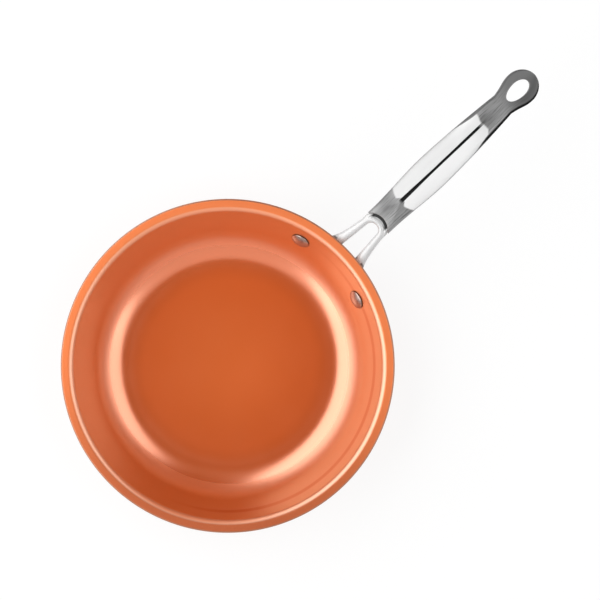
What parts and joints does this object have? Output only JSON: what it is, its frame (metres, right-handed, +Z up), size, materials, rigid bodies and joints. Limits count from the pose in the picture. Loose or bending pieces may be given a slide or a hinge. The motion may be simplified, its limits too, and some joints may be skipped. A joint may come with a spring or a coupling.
{
  "type": "frying pan",
  "caption": "Shallow round frying pan with a copper-coloured ceramic coating, a flared lip with a level brim, a riveted fork and a hollow steel grip with a hanging loop.",
  "frame": {"origin": "middle of the resting face, on the axis of the pan", "axes": "+X along the handle, +Z up out of the open pan"},
  "size_m": [0.4181, 0.24, 0.0816],
  "materials": {
    "copper_ceramic": "pressed aluminium with a satin copper-coloured ceramic coating inside and out",
    "plate_steel": "turned ferritic stainless steel",
    "fork_steel": "mirror polished stainless steel",
    "grip_steel": "polished stainless steel with fine lengthwise polishing lines",
    "rivet_steel": "polished stainless steel"
  },
  "bodies": {
    "root": {"pan_body": "copper_ceramic", "induction_plate": "plate_steel", "handle_fork": "fork_steel", "grip_upper_shell": "grip_steel", "grip_lower_shell": "grip_steel", "rivet_left": "rivet_steel", "rivet_right": "rivet_steel"}
  },
  "joints": []
}
